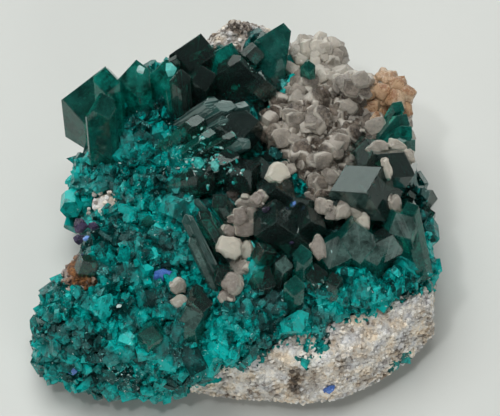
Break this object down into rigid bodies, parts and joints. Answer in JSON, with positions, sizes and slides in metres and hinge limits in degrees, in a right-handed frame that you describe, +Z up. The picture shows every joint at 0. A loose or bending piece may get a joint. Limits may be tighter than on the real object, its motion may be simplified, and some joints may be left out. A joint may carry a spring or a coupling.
{
  "type": "dioptase specimen",
  "caption": "Dark green dioptase prisms rising from a teal druse on a flat-lying grey-brown rock, with a hollow full of grey calcite and small creamy calcite crystals perched on the prisms.",
  "frame": {"origin": "on the flat underside of the rock, under the middle of the specimen", "axes": "+Z up through the crystals, -Y towards the front edge where the rock is bare, +X to the right as seen from that edge"},
  "size_m": [0.0603, 0.0588, 0.026],
  "materials": {
    "dioptase": "clear emerald crystal, nearly black where it is thick, with glassy faces",
    "calcite": "milky and waxy, paler at the rims",
    "rock": "rough grainy rock, mottled grey, brown and white"
  },
  "bodies": {
    "root": {"matrix": "rock", "dioptase": "dioptase", "calcite_mass": "calcite", "calcite_oval": "calcite", "calcite_oval_2": "calcite", "calcite_string": "calcite", "calcite_string_2": "calcite", "calcite_string_3": "calcite", "calcite_string_4": "calcite", "calcite_string_5": "calcite", "calcite_string_6": "calcite", "calcite_string_7": "calcite", "calcite_string_8": "calcite", "calcite_string_9": "calcite", "calcite_chain": "calcite", "calcite_chain_2": "calcite", "calcite_chain_3": "calcite", "calcite_lone_low": "calcite", "calcite_lone_right": "calcite", "calcite_lone_front": "calcite", "calcite_lone_front_small": "calcite", "calcite_crescent": "calcite", "calcite_crescent_2": "calcite"}
  },
  "joints": []
}
